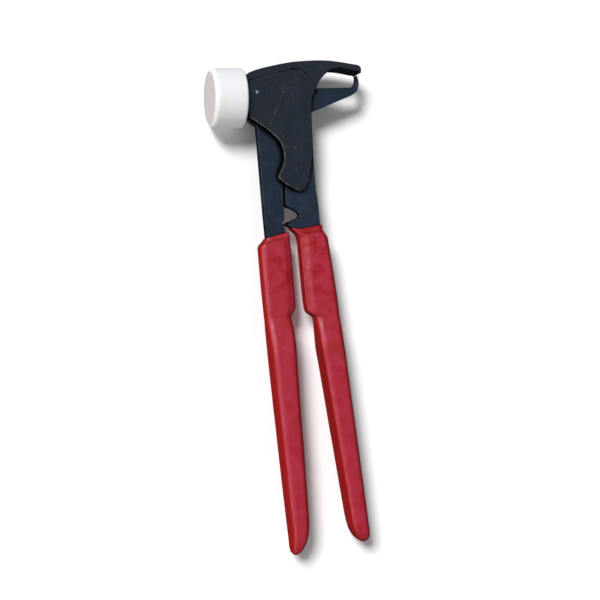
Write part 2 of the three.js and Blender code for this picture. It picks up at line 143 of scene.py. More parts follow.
# Hammer tip
TIP_RING = 128
TIP_FACE_FILLET = 2.6 * MM
TIP_REAR_FILLET = 1.2 * MM
TIP_BORE = 5.56 * MM
TIP_BORE_EDGE = 0.3 * MM
TIP_SOCKET = 12.3 * MM
TIP_FACE_CENTRE = 0.8 * MM
TIP_REAR_INSET = (2 * MM, 0.4 * MM)
TIP_REAR_POINTS = 5
TIP_SIDE_POINTS = 10
TIP_FACE_POINTS = 9
TIP_SHARP_ANGLE = math.radians(50)
TIP_WAVE = 0.06 * MM
TIP_WAVE_SIZE = 6 * MM
FILLET_STEPS = 8

# Camera
CAMERA_LEFT_DEG = 17.0
CAMERA_ROLL_DEG = -2.45
CAMERA_DISTANCE = 0.700
CAMERA_TARGET = PIVOT + Vector((0.002519, -0.103448, 0.0))
LENS = 76.8
SENSOR = 36.0

# Key light, fill from above and below, and what glossy surfaces see: a cool veil and a strip light
KEY_TILT_DEG = 38.0
KEY_TURN_DEG = 44.0
KEY_ANGLE_DEG = 19.0
KEY_STRENGTH = 3.3
FILL_ABOVE = 0.22
FILL_BELOW_LEFT = 1.25
FILL_BELOW_RIGHT = 0.9
FILL_FROM_GRIPS = 0.5
VEIL_COLOR = (0.42, 0.64, 1.0)
VEIL_STRENGTH = 0.95
GLOSS_BELOW = 0.02
STRIP_DEG = 66.0
STRIP_STRENGTH = 15.0

# Where each part of the surroundings starts and where it is full, as parts of a unit direction
PANEL_SPAN = (0.55, 0.92)
BELOW_SPAN = (0.25, -0.20)
BOUNCE_SPAN = (-0.5, 0.6)
STRIP_SPAN = (0.20, 0.06)
STRIP_LEFT_OF = -0.3
FLOOR_DROP = 7 * MM
FLOOR_GRIP_INSET = 12 * MM
FLOOR_SIZE = 3.0


# ---- Meshes --------------------------------------------------------------------------------------

def node_mesh(node):
    """A CAD node's mesh as a bmesh, welded, with its flats merged."""
    bm = bmesh.new()
    bm.from_mesh(frame["nodes"][node].data)
    bmesh.ops.remove_doubles(bm, verts=bm.verts, dist=WELD)
    bmesh.ops.dissolve_limit(bm, angle_limit=FLAT_ANGLE, verts=bm.verts, edges=bm.edges)
    bm.normal_update()
    return bm


def finish_piece(bm, name, node, material, sharp_angle=SHARP_ANGLE):
    """Turns a bmesh into the object that stands for a CAD node and rides on the same body."""
    mesh = bpy.data.meshes.new(name)
    bm.to_mesh(mesh)
    bm.free()
    for polygon in mesh.polygons:
        polygon.use_smooth = True
    mesh.set_sharp_from_angle(angle=sharp_angle)
    mesh.materials.append(material)
    piece = bpy.data.objects.new(name, mesh)
    bpy.context.scene.collection.objects.link(piece)
    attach(piece, frame["nodes"][node]["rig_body"])
    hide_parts(node)
    return piece


def node_outline(node, height):
    """Corner points of a CAD node at one height, for finding which edges lie on a seam."""
    points = [v.co.copy() for v in frame["nodes"][node].data.vertices]
    return [p for p in points if abs(p.z - height) < SAME_PLACE]


def near_any(points, reach):
    """A test for lying within reach of any of the points, seen from above."""
    tree = KDTree(len(points))
    for i, p in enumerate(points):
        tree.insert((p.x, p.y, 0), i)
    tree.balance()
    return lambda p: tree.find((p.x, p.y, 0))[2] < reach


def rivet_test():
    """A test for lying in a rivet's hole, so that flush rivets stay flush."""
    spots = []
    for node in frame["nodes"]:
        if node.endswith("_rivet") or "_rivet_" in node or node == "stud_lock_pin":
            low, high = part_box(node)
            spots.append(((low + high) / 2, (high.x - low.x) / 2 + RIVET_MARGIN))
    return lambda p: any((p - c).xy.length < r for c, r in spots)


in_rivet_hole = rivet_test()


def round_edges(bm, wanted, width, steps=ROUND_STEPS):
    """Rounds the sharp outer edges that pass the test."""
    edges = []
    for edge in bm.edges:
        if len(edge.link_faces) != 2:
            continue
        if edge.calc_face_angle_signed(0.0) < SHARP_ANGLE:
            continue
        middle = (edge.verts[0].co + edge.verts[1].co) / 2
        if in_rivet_hole(middle) or not wanted(middle):
            continue
        edges.append(edge)
    bmesh.ops.bevel(
        bm, geom=edges, offset=width, offset_type="OFFSET", segments=steps, profile=0.5,
        affect="EDGES", clamp_overlap=False, miter_outer="ARC")


def flatten_normals(piece):
    """Keeps the flats flat and the rounded edges round in the shading."""
    modifier = piece.modifiers.new("weighted", "WEIGHTED_NORMAL")
    modifier.keep_sharp = True
    modifier.weight = FLAT_WEIGHT


def close_seam(bm):
    """Moves a cheek's upper edge so that it takes up most of the gap to the core's raised band."""
    for v in bm.verts:
        if v.co.y > PIVOT.y + SEAM_ABOVE and not in_rivet_hole(v.co):
            v.co += SEAM_SHIFT


def steel_piece(name, node, material, seam=None, open_air=None, blunt=None, close=False):
    """A CAD steel piece with rounded edges: finer on a seam, blunter where asked, sharp inside a grip.

    With close, its upper edge is first moved up to the core's raised band.
    """
    bm = node_mesh(node)
    if close:
        close_seam(bm)
    on_seam = seam or (lambda p: False)
    outside = open_air or (lambda p: True)
    if blunt:
        round_edges(bm, blunt, BEAK_ROUND, BEAK_STEPS)
    round_edges(bm, lambda p: outside(p) and not on_seam(p), EDGE_ROUND)
    if seam:
        round_edges(bm, on_seam, SEAM_ROUND)
    bmesh.ops.remove_doubles(bm, verts=bm.verts, dist=WELD)
    piece = finish_piece(bm, name, node, material)
    flatten_normals(piece)
    return piece


# ---- Grips ---------------------------------------------------------------------------------------

# Side of the outer edge, lean of the dip line, heights of collar and pad, and how far a tongue of
# plastic runs over the lever's inner edge, in millimetres
GRIPS = {
    "jaw_grip": {"outer": -1, "lean": 0.25, "collar": 3.7 * MM, "pad": 4.9 * MM, "tongue": (0.0, 0.0)},
    "fixed_grip": {"outer": 1, "lean": 0.17, "collar": 3.9 * MM, "pad": 5.2 * MM, "tongue": (-1.7, 1.1)},
}


def smoothstep(low, high, x):
    """0 below low, 1 above high, smooth between."""
    t = min(1.0, max(0.0, (x - low) / (high - low)))
    return t * t * (3 - 2 * t)


def grip_stations(length, step):
    """Distances from the dip line to the end: closer together at the top, at the step and at the end."""
    marks = [d * MM for d in TOP_MARKS]
    marks += [step + d * MM for d in STEP_MARKS]
    marks += [length - d * MM for d in END_MARKS]
    stations = [marks[0]]
    for mark in marks[1:]:
        first = stations[-1]
        gap = mark - first
        count = max(1, round(gap / RING_SPACING))
        stations += [first + gap * i / count for i in range(1, count + 1)]
    return stations


def grip_sections(node):
    """Outer edge, inner edge and half height of a CAD grip at each station.

    Its length, the place of its step and its ray tree come after them.
    """
    tree = BVHTree.FromBMesh(node_mesh(node))
    low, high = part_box(node)
    reach = high.y - low.y
    lean_top = GRIPS[node]["lean"]

    def edge(y, side):
        start = Vector(((low.x + high.x) / 2 + side * reach, y, 0))
        return tree.ray_cast(start, Vector((-side, 0, 0)))[0].x

    points = [v.co for v in frame["nodes"][node].data.vertices]
    crest = max(p.y - lean_top * p.x for p in points)
    brim = [p.x for p in points if crest - (p.y - lean_top * p.x) < SAME_PLACE]
    half_width = (max(brim) - min(brim)) / 2
    top = crest + lean_top * (max(brim) + min(brim)) / 2
    length = top - low.y
    step = top - (PIVOT.y - STEP_BELOW_PIVOT)
    rows = []
    for d in grip_stations(length, step):
        y = top - d
        lean = lean_top * (1 - smoothstep(*DIP_FADE, d))
        for _ in range(EDGE_PASSES):
            left_y, right_y = y - lean * half_width, y + lean * half_width
            left, right = edge(left_y, -1), edge(right_y, 1)
            half_width = (right - left) / 2
        height = tree.ray_cast(Vector(((left + right) / 2, y, reach)), Vector((0, 0, -1)))[0].z
        edges = [(left, left_y), (right, right_y)]
        if GRIPS[node]["outer"] > 0:
            edges.reverse()
        rows.append((d, *edges[0], *edges[1], height))
    return np.array(rows), length, step, tree


def arc(centre, radius, start, stop, count):
    """Points on a quarter round in a section, as distance across and height."""
    angles = np.radians(np.linspace(start, stop, count))
    return [(centre[0] + radius * math.cos(a), centre[1] + radius * math.sin(a)) for a in angles]


def half_section(width, height, outer_round, inner_round, rim, rim_height):
    """Front half of a section: outer wall, round corner, pad, slope, low rim, round corner, inner wall."""
    drop = (height - rim_height) * rim
    pad_end = width - (RIM_WIDTH + RIM_SLOPE) * rim - inner_round * (1 - rim)
    slope_end = pad_end + RIM_SLOPE * rim
    rim_end = width - inner_round
    rim_top = height - drop
    points = [(0.0, z) for z in np.linspace(0, height - outer_round, WALL_POINTS)[:-1]]
    points += arc((outer_round, height - outer_round), outer_round, 180, 90, OUTER_POINTS)
    points += [(t, height) for t in np.linspace(outer_round, pad_end, PAD_POINTS)[1:-1]]
    for u in np.linspace(0, 1, SLOPE_POINTS):
        points.append((pad_end + (slope_end - pad_end) * u, height - drop * smoothstep(0, 1, u)))
    points += [(t, rim_top) for t in np.linspace(slope_end, rim_end, RIM_POINTS)[1:-1]]
    points += arc((rim_end, rim_top - inner_round), inner_round, 90, 0, INNER_POINTS)
    points += [(width, z) for z in np.linspace(rim_top - inner_round, 0, WALL_POINTS)[1:]]
    return points


def grip_rings(node):
    """Distance, centre and points of each ring round the outside of a grip, its length and its ray tree."""
    rows, length, step, tree = grip_sections(node)
    look = GRIPS[node]
    smooth = rows.copy()
    for _ in range(SMOOTH_PASSES):
        smooth[1:-1, 5] = (smooth[:-2, 5] + 2 * smooth[1:-1, 5] + smooth[2:, 5]) / 4
    rings = []
    for d, outer_x, outer_y, inner_x, inner_y, height in smooth:
        width = abs(inner_x - outer_x)
        below = smoothstep(step + STEP_FADE[0], step + STEP_FADE[1], d)
        on_pad = smoothstep(*PAD_RISE, d)
        if d < step:
            height = look["collar"] + (look["pad"] - look["collar"]) * on_pad
        else:
            height = max(height, look["pad"])
        if d > length - END_LENGTH:
            share = (d - length + END_LENGTH) / END_LENGTH
            height = min(height, GRIP_HALF * math.sqrt(max(END_FLAT, 1 - share * share)))
        grown = smoothstep(step, step + LOWER_FADE, d)
        fit = min(height * ROUND_LIMITS[0], width * ROUND_LIMITS[1])
        outer_round = min(UPPER_OUTER_ROUND + (LOWER_ROUND - UPPER_OUTER_ROUND) * grown, fit)
        inner_round = min(UPPER_INNER_ROUND + (LOWER_ROUND - UPPER_INNER_ROUND) * below, fit)
        front = half_section(width, height, outer_round, inner_round, (1 - below) * on_pad, look["collar"])
        section = front + [(t, -z) for t, z in reversed(front[1:-1])]
        outer, inner = Vector((outer_x, outer_y, 0)), Vector((inner_x, inner_y, 0))
        ring = []
        for t, z in section:
            p = outer.lerp(inner, t / width) + Vector((0, 0, z))
            pull = smoothstep(width - TONGUE_WIDTH[0], width - TONGUE_WIDTH[1], t)
            pull *= 1 - smoothstep(0, TONGUE_LENGTH, d)
            ring.append(p + Vector((*look["tongue"], 0)) * MM * pull)
        rings.append((d, (outer + inner) / 2, ring))
    return rings, length, tree


def skin(bm, rings):
    """Quads between neighbouring rings of a bmesh."""
    count = len(rings[0])
    for a, b in zip(rings, rings[1:]):
        for i in range(count):
            j = (i + 1) % count
            bm.faces.new((a[i], b[i], b[j], a[j]))


def hollow_point(tree, centre, outside):
    """The point of a grip's hollow on the way from its centre to a point on its outside."""
    way = outside - centre
    hit = tree.ray_cast(centre, way.normalized())[0]
    limit = HOLLOW_SHARE * way.length
    share = limit if hit is None else min((hit - centre).length, limit)
    return centre + way.normalized() * share


def grip_piece(name, node, material, seed):
    """A hollow dipped sleeve over a lever's tang."""
    rings, length, tree = grip_rings(node)
    bm = bmesh.new()
    offset = Vector((seed, seed * 2, 0))
    outside, hollow = [], []
    for i, (d, centre, ring) in enumerate(rings):
        made = []
        for p in ring:
            wave = noise.noise(p / GRIP_WAVE_SIZE + offset) * GRIP_WAVE * smoothstep(0, GRIP_WAVE_FADE, d)
            made.append(bm.verts.new(p + (p - centre).normalized() * wave))
        outside.append(made)
        if i % HOLLOW_EVERY == 0 and d < length - HOLLOW_SHORTFALL:
            hollow.append([hollow_point(tree, centre, p) for p in ring])
    tip = bm.verts.new(rings[-1][1] + Vector((0, -END_BULGE, 0)))
    lip = []
    for o, i in zip(rings[0][2], hollow[0]):
        lip.append(bm.verts.new(o.lerp(i, 0.5) + Vector((0, LIP_RISE, 0))))
    inside = [[bm.verts.new(p) for p in ring] for ring in hollow]
    skin(bm, [*reversed(inside), lip, *outside])
    bm.faces.new(reversed(inside[-1]))
    count = len(outside[-1])
    for i in range(count):
        bm.faces.new((outside[-1][i], tip, outside[-1][(i + 1) % count]))
    bmesh.ops.remove_doubles(bm, verts=bm.verts, dist=WELD)
    bmesh.ops.recalc_face_normals(bm, faces=bm.faces)
    return finish_piece(bm, name, node, material, NO_SHARP_ANGLE)


def outside_grip(node):
    """A test for lying above a grip's leaning top edge."""
    rows = grip_sections(node)[0]
    x0, y0, x1, y1 = rows[0][1:5]
    slope = (y1 - y0) / (x1 - x0)
    return lambda p: p.y > y0 + slope * (p.x - x0) - GRIP_LIP


# ---- Hammer tip ----------------------------------------------------------------------------------

def fillet(radius, size, along, start):
    """A quarter round on a turned profile, as radius and distance from the rear."""
    angles = [math.radians(start + 90 * step / FILLET_STEPS) for step in range(FILLET_STEPS + 1)]
    return [(radius - size + size * math.cos(a), along + size * math.sin(a)) for a in angles]


def tip_profile(radius, length):
    """Radius and distance from the rear, from the socket round the outside to the middle of the face."""
    face_start = length - TIP_FACE_FILLET
    rear_end = radius - TIP_REAR_FILLET - TIP_REAR_INSET[1]
    points = [(TIP_BORE, TIP_SOCKET), (TIP_BORE, 0.0), (TIP_BORE + TIP_BORE_EDGE, 0.0)]
    points += [(r, 0.0) for r in np.linspace(TIP_BORE + TIP_REAR_INSET[0], rear_end, TIP_REAR_POINTS)]
    points += fillet(radius, TIP_REAR_FILLET, TIP_REAR_FILLET, -90)
    points += [(radius, x) for x in np.linspace(TIP_REAR_FILLET, face_start, TIP_SIDE_POINTS)[1:-1]]
    points += fillet(radius, TIP_FACE_FILLET, face_start, 0)
    face_edge = radius - TIP_FACE_FILLET
    points += [(r, length) for r in np.linspace(face_edge, TIP_FACE_CENTRE, TIP_FACE_POINTS)[1:]]
    return points


def tip_piece(name, node, material):
    """The nylon face: turned, with a hammered, slightly uneven surface."""
    low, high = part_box(node)
    radius, length = (high.y - low.y) / 2, high.x - low.x
    axis_y = (low.y + high.y) / 2
    bm = bmesh.new()
    rings = []
    for r, along in tip_profile(radius, length):
        ring = []
        for i in range(TIP_RING):
            angle = 2 * math.pi * i / TIP_RING
            p = Vector((high.x - along, axis_y + r * math.cos(angle), r * math.sin(angle)))
            wave = noise.noise(p / TIP_WAVE_SIZE) * TIP_WAVE * smoothstep(radius * 0.4, radius, r)
            ring.append(bm.verts.new(p + Vector((-1, 0, 0)) * wave))
        rings.append(ring)
    skin(bm, rings)
    bm.faces.new(rings[0])
    bm.faces.new(reversed(rings[-1]))
    bmesh.ops.recalc_face_normals(bm, faces=bm.faces)
    return finish_piece(bm, name, node, material, TIP_SHARP_ANGLE)


# ---- Materials -----------------------------------------------------------------------------------

class Graph:
    """A material's nodes, built by short calls that take numbers or sockets and return sockets.

    Its place is measured from the jaw's pivot, in millimetres.
    """

    def __init__(self, name):
        self.material = bpy.data.materials.new(name)
        self.material.use_nodes = True
        self.tree = self.material.node_tree
        self.tree.nodes.clear()
        place = self.add("ShaderNodeTexCoord").outputs["Object"]
        from_pivot = self.vector("SUBTRACT", place, tuple(PIVOT))
        self.place = self.scaled(from_pivot.outputs[0], (1000, 1000, 1000))
        self.normal = self.add("ShaderNodeNewGeometry").outputs["Normal"]

    def add(self, kind, inputs=None, **settings):
        node = self.tree.nodes.new(kind)
        for key, value in settings.items():
            setattr(node, key, value)
        for key, value in (inputs or {}).items():
            self.put(node.inputs[key], value)
        return node

    def put(self, socket, value):
        if isinstance(value, bpy.types.NodeSocket):
            self.tree.links.new(value, socket)
        elif isinstance(value, tuple) and len(value) == 3 and socket.type == "RGBA":
            socket.default_value = (*value, 1.0)
        else:
            socket.default_value = value

    def scaled(self, vector, scale, turn=(0, 0, 0)):
        mapping = self.add("ShaderNodeMapping", {"Vector": vector, "Scale": scale, "Rotation": turn})
        return mapping.outputs[0]

    def math(self, operation, a, b=0.0):
        return self.add("ShaderNodeMath", {0: a, 1: b}, operation=operation).outputs[0]

    def vector(self, operation, a, b):
        """The node itself, because a distance and a product come out of another socket than a vector."""
        return self.add("ShaderNodeVectorMath", {0: a, 1: b}, operation=operation)

    def clamped_sum(self, a, b):
        """The sum, kept between 0 and 1."""
        return self.add("ShaderNodeMath", {0: a, 1: b}, operation="ADD", use_clamp=True).outputs[0]

    def ramp(self, value, low, high):
        """0 below low, 1 above high, smooth between."""
        node = self.add(
            "ShaderNodeMapRange", {"Value": value, "From Min": low, "From Max": high},
            interpolation_type="SMOOTHSTEP")
        return node.outputs["Result"]

    def between(self, value, low, high):
        """Stretches a 0 to 1 value to low to high."""
        inputs = {"Value": value, "To Min": low, "To Max": high}
        return self.add("ShaderNodeMapRange", inputs).outputs["Result"]

    def noise(self, size, detail=3.0, vector=None, rough=0.55):
        """Noise with lumps of the given size in millimetres."""
        inputs = {"Vector": vector or self.place, "Scale": 1.0 / size, "Detail": detail, "Roughness": rough}
        return self.add("ShaderNodeTexNoise", inputs).outputs["Fac"]

    def part(self, axis):
        """How far a point lies from the pivot along one axis, in millimetres."""
        return self.add("ShaderNodeSeparateXYZ", {0: self.place}).outputs[axis]

    def facing(self, direction):
        """How far the surface faces a direction, from -1 to 1."""
        toward = tuple(Vector(direction).normalized())
        return self.vector("DOT_PRODUCT", self.normal, toward).outputs["Value"]

    def rim(self, low, high):
        """0 face on, 1 at the silhouette."""
        return self.ramp(self.add("ShaderNodeLayerWeight", {"Blend": 0.5}).outputs["Facing"], low, high)

    def mix(self, factor, a, b):
        node = self.add("ShaderNodeMix", data_type="RGBA")
        self.put(node.inputs["Factor"], factor)
        self.put(node.inputs[6], a)
        self.put(node.inputs[7], b)
        return node.outputs[2]

    def lines(self, size, thin, turn):
        """Sparse hair scratches, all running one way."""
        stretched = self.scaled(self.place, (1.0 / size, 1.0 / (size * 30), 1.0), (0, 0, turn))
        value = self.noise(1.0, 1.0, stretched)
        return self.ramp(value, 1 - thin, 1 - thin * 0.6)

    def stroke(self, start, end, width):
        """A mark from one point to another on the front of the tool, in millimetres."""
        a = Vector((*start, 0))
        way = Vector((*end, 0)) - a
        wobble = self.between(self.noise(3.0, 2.0), -0.5, 0.5)
        flat = self.vector("MULTIPLY", self.place, (1, 1, 0)).outputs[0]
        shifted = self.vector("ADD", flat, tuple(-a)).outputs[0]
        along = self.vector("DOT_PRODUCT", shifted, tuple(way)).outputs["Value"]
        share = self.add(
            "ShaderNodeMath", {0: along, 1: way.length_squared}, operation="DIVIDE", use_clamp=True)
        nearest = self.add(
            "ShaderNodeVectorMath", {0: tuple(way), "Scale": share.outputs[0]}, operation="SCALE")
        gap = self.vector("DISTANCE", shifted, nearest.outputs[0]).outputs["Value"]
        wavy = self.math("ADD", gap, wobble)
        return self.ramp(wavy, width, width * 0.2)

    def finish(self, color, roughness, metallic, height, depth, extra=None):
        """The material itself, with a height of 0 to 1 as a bump of the given depth."""
        bump = self.add("ShaderNodeBump", {"Height": height, "Distance": depth, "Strength": 1.0})
        inputs = {
            "Base Color": color, "Roughness": roughness, "Metallic": metallic,
            "Normal": bump.outputs[0], **(extra or {}),
        }
        shader = self.add("ShaderNodeBsdfPrincipled", inputs)
        output = self.add("ShaderNodeOutputMaterial", {"Surface": shader.outputs[0]})
        output.is_active_output = True
        return self.material


# Painted shade, for the steel's crevices and silhouette
PAINTED_SHADE_BLACK = (0.001, 0.001, 0.001)
BARE_STEEL_AND_SHINE = (0.25, 0.235, 0.215)
GRAIN_LIGHTER = 1.9
CREVICE_SHADE_REACH = 4 * MM

RED_PAD = (0.335, 0.0055, 0.0100)
RED_PAD_PINKISH = (0.375, 0.0090, 0.0320)
RED_SPECKLE = (0.39, 0.0120, 0.0400)
RED_DARK_PATCH = (0.285, 0.0015, 0.0020)
RED_WALL_WITHOUT_SHEEN = (0.31, 0.0022, 0.0015)
RED_RIGHT_WALL_SHADE = (0.14, 0.0010, 0.0007)
RED_UPPER_EDGE_SHADE = (0.20, 0.0010, 0.0008)
RED_SILHOUETTE_SHADE = (0.05, 0.0005, 0.0004)
DARK_PATCH_FADE = (-115, -78)

NYLON_WHITE = (0.79, 0.79, 0.81)
NYLON_YELLOWED = (0.79, 0.76, 0.67)
NYLON_SCUFFED = (0.68, 0.66, 0.62)
NYLON_FACE = (0.64, 0.580, 0.555)

PAPER_TONES = ((0.97, 0.97, 0.97), (0.985, 0.985, 0.985))

# Marks on the front cheek: start, end, half width and strength
CHEEK_MARKS = [
    ((1.5, 17.0), (-3.8, 11.5), 0.40, 0.8),
    ((-3.8, 11.5), (-5.8, 5.0), 0.35, 0.6),
    ((-5.8, 5.0), (-12.0, -8.0), 0.40, 0.8),
    ((-0.8, 16.4), (-2.2, 9.9), 0.30, 0.5),
    ((3.8, 16.5), (-0.4, 11.6), 0.30, 0.5),
    ((-3.5, -20.1), (-3.2, -20.3), 0.55, 1.0),
    ((1.5, -20.9), (1.9, -21.2), 0.60, 1.0),
    ((10.7, -24.9), (10.8, -25.3), 0.45, 0.9),
    # A small bright spot beside the hammer's boss
    ((-21.9, 12.2), (-21.5, 11.9), 0.45, 0.8),
    ((0.6, -31.8), (2.2, -33.4), 0.75, 0.5),
]


def scuffing(g, marks):
    """Hair scratches, specks and single marks, as how strongly a place is marked."""
    hair = g.math("ADD", g.lines(0.55, 0.30, 0.6), g.lines(0.5, 0.29, -0.9))
    specks = g.ramp(g.noise(1.5, 2.0), 0.70, 0.76)
    scuffs = g.math("MULTIPLY", g.math("ADD", g.math("MULTIPLY", hair, 0.45), specks), 0.6)
    for start, end, width, strength in marks:
        broken = g.ramp(g.noise(1.8, 3.0), 0.42, 0.62)
        mark = g.math("MULTIPLY", g.stroke(start, end, width), broken)
        scuffs = g.math("ADD", scuffs, g.math("MULTIPLY", mark, strength))
    return scuffs


def edge_wear_and_shine(g, slope, wear_and_shine, wear_and_shine_toward):
    """Bare, lighter rounded edges where they face the given side, in patches: partly bared steel, partly
    painted highlight.
    """
    edge = g.ramp(slope, 0.08, 0.2)
    toward = g.between(g.ramp(g.facing(wear_and_shine_toward), 0.22, 0.58), 0.12, 1.0)
    patchy = g.between(g.ramp(g.noise(3.0, 4.0), 0.40, 0.62), 0.30, 1.0)
    return g.math("MULTIPLY", g.math("MULTIPLY", edge, toward), g.math("MULTIPLY", patchy, wear_and_shine))


def oxide_steel(name, dark, light, wear_and_shine, wear_and_shine_toward, marks=()):
    """Black oxide on steel: mottled, finely scratched, and scuffed bare along the edges that face one way,
    where the lighter edges are partly painted highlight.

    Its rounded edges hardly shine, and painted shade turns it black in corners and at the silhouette.
    """
    g = Graph(name)
    mottle = g.ramp(g.noise(7.0, 4.0), 0.35, 0.68)
    grain = g.noise(0.9, 3.0)
    color = g.mix(mottle, dark, light)
    lighter = tuple(c * GRAIN_LIGHTER for c in light)
    color = g.mix(g.math("MULTIPLY", g.ramp(grain, 0.52, 0.72), 0.5), color, lighter)

    up = g.math("ABSOLUTE", g.facing((0, 0, 1)))
    slope = g.math("MULTIPLY", up, g.math("SUBTRACT", 1.0, up))
    scuffs = g.math("MULTIPLY", scuffing(g, marks), 0.3)
    # Scuffs and bare edges; the lighter edges on the chosen side are partly painted highlight.
    worn_and_shining = g.clamped_sum(scuffs, edge_wear_and_shine(g, slope, wear_and_shine, wear_and_shine_toward))
    color = g.mix(worn_and_shining, color, BARE_STEEL_AND_SHINE)
    # Painted shade: the steel darkens to black towards its silhouette.
    color = g.mix(g.math("MULTIPLY", g.rim(0.93, 0.99), 0.8), color, PAINTED_SHADE_BLACK)
    roughness = g.math("ADD", g.between(g.noise(3.0, 3.0), 0.27, 0.38), g.math("MULTIPLY", worn_and_shining, 0.08))
    height = g.math("ADD", g.math("MULTIPLY", grain, 0.7), g.math("MULTIPLY", worn_and_shining, -0.6))

    dull_edge = g.between(g.ramp(slope, 0.03, 0.12), 0.35, 0.05)
    # Painted shade: black in crevices, such as along the cheeks' edges over the levers, with less shine
    # there.
    open_share = g.add("ShaderNodeAmbientOcclusion", {"Distance": CREVICE_SHADE_REACH}).outputs["AO"]
    in_open = g.ramp(open_share, 0.50, 0.95)
    color = g.mix(in_open, PAINTED_SHADE_BLACK, color)
    extra = {"Specular IOR Level": g.math("MULTIPLY", dull_edge, in_open)}
    return g.finish(color, roughness, g.math("MULTIPLY", worn_and_shining, 0.4), height, 0.015 * MM, extra)


def bare_metal(name, tone, shade):
    """Machined metal: turned or brushed grain with dull patches."""
    g = Graph(name)
    patches = g.ramp(g.noise(3.0, 3.0), 0.35, 0.7)
    grain = g.noise(0.4, 2.0, g.scaled(g.place, (1.0, 1.0, 0.1)))
    color = g.mix(patches, tone, shade)
    roughness = g.between(grain, 0.25, 0.5)
    return g.finish(color, roughness, 1.0, grain, 0.01 * MM)


def dipped_plastic(name):
    """Red dipped plastic with a fine skin: pinkish flats, darker patches, and deeper red walls.

    The flats' pinkish cast against the walls is partly painted sheen. The darker patches are strongest near
    the dip line and fainter from the step down. Walls that face right or up are deeper still with painted
    shade, and so is the silhouette. The flats have a soft gloss, walls and darker patches less.
    """
    g = Graph(name)
    cloud = g.ramp(g.noise(9.0, 4.0), 0.35, 0.65)
    color = g.mix(cloud, RED_PAD, RED_PAD_PINKISH)
    speckle = g.math("MULTIPLY", g.ramp(g.noise(1.1, 2.0), 0.45, 0.75), 0.35)
    color = g.mix(speckle, color, RED_SPECKLE)
    # Darker red patches, strongest near the dip line, with less gloss where they lie.
    dark_patch_share = g.between(g.ramp(g.part("Y"), *DARK_PATCH_FADE), 0.45, 1.0)
    dark_patch = g.math("MULTIPLY", g.ramp(g.noise(6.5, 2.0), 0.38, 0.68), dark_patch_share)
    color = g.mix(dark_patch, color, RED_DARK_PATCH)

    upright = g.math("ABSOLUTE", g.facing((0, 0, 1)))
    # Walls that turn from the front get a deeper, less pinkish red: the flats' pinkish cast is partly
    # painted sheen, the cool reflection they catch from above.
    color = g.mix(g.ramp(upright, 0.55, 0.97), RED_WALL_WITHOUT_SHEEN, color)
    # Painted shade on walls that face right, away from the key light.
    turned_right = g.ramp(g.facing((1, 0, 0)), 0.12, 0.85)
    color = g.mix(g.math("MULTIPLY", turned_right, 0.55), color, RED_RIGHT_WALL_SHADE)
    # Painted shade: deeper red where faces turn up, towards the dip line.
    turned_up = g.math("MULTIPLY", g.ramp(g.facing((0, 1, 0)), 0.12, 0.50), 0.6)
    color = g.mix(turned_up, color, RED_UPPER_EDGE_SHADE)
    # Painted shade: nearly black towards the silhouette.
    color = g.mix(g.math("MULTIPLY", g.rim(0.72, 0.90), 0.9), color, RED_SILHOUETTE_SHADE)

    roughness = g.between(g.noise(6.0, 3.0), 0.40, 0.52)
    height = g.math("ADD", g.math("MULTIPLY", g.noise(0.6, 3.0), 0.12), g.noise(5.0, 2.0))
    unpatched = g.math("SUBTRACT", 1.0, g.math("MULTIPLY", dark_patch, 0.4))
    gloss = g.between(g.ramp(upright, 0.30, 0.72), 0.12, 0.5)
    extra = {"Specular IOR Level": g.math("MULTIPLY", gloss, unpatched)}
    return g.finish(color, roughness, 0.0, height, 0.09 * MM, extra)


def nylon(name):
    """White nylon, slightly yellowed in blotches, scuffed, and greyer on the striking face, whose darkness
    is painted shade.
    """
    g = Graph(name)
    color = g.mix(g.ramp(g.noise(7.0, 3.0), 0.5, 0.72), NYLON_WHITE, NYLON_YELLOWED)
    scuff = g.math("MULTIPLY", g.ramp(g.noise(2.0, 4.0), 0.58, 0.8), 0.2)
    color = g.mix(scuff, color, NYLON_SCUFFED)
    # Painted shade: the striking face is darker and a little warmer than the sides.
    color = g.mix(g.ramp(g.facing((-1, 0, 0)), 0.92, 0.995), color, NYLON_FACE)
    roughness = g.between(g.noise(3.0, 2.0), 0.38, 0.55)
    extra = {"Subsurface Weight": 0.15, "Subsurface Radius": (1.0, 0.9, 0.8), "Subsurface Scale": 0.8 * MM}
    return g.finish(color, roughness, 0.0, g.noise(1.2, 3.0), 0.04 * MM, extra)


def floor_paper(name):
    """Plain white paper."""
    g = Graph(name)
    return g.finish(g.mix(g.noise(30.0, 2.0), *PAPER_TONES), 0.9, 0.0, g.noise(0.5, 2.0), 0.005 * MM)


# ---- The tool ------------------------------------------------------------------------------------

DOWN_LEFT = (-0.45, -0.9, 0)
LEFT = (-1, 0, 0)
UP_RIGHT = (0.8, 0.6, 0)
CHEEK_TONES = ((0.0050, 0.0052, 0.0052), (0.0085, 0.0095, 0.0105))
BAND_TONES = ((0.0050, 0.0055, 0.0055), (0.0085, 0.0095, 0.0100))
JAW_TONES = ((0.0040, 0.0065, 0.0115), (0.0080, 0.0130, 0.0220))
FIXED_TONES = ((0.0055, 0.0085, 0.0145), (0.0105, 0.0155, 0.0245))
cheek_steel = oxide_steel("cheek_steel", *CHEEK_TONES, 1.0, DOWN_LEFT, CHEEK_MARKS)
back_cheek_steel = oxide_steel("back_cheek_steel", *CHEEK_TONES, 1.0, DOWN_LEFT)
band_steel = oxide_steel("band_steel", *BAND_TONES, 0.15, UP_RIGHT)
jaw_lever_steel = oxide_steel("jaw_lever_steel", *JAW_TONES, 0.12, LEFT)
fixed_lever_steel = oxide_steel("fixed_lever_steel", *FIXED_TONES, 0.30, LEFT)
machined = bare_metal("machined_steel", (0.52, 0.52, 0.53), (0.30, 0.29, 0.28))
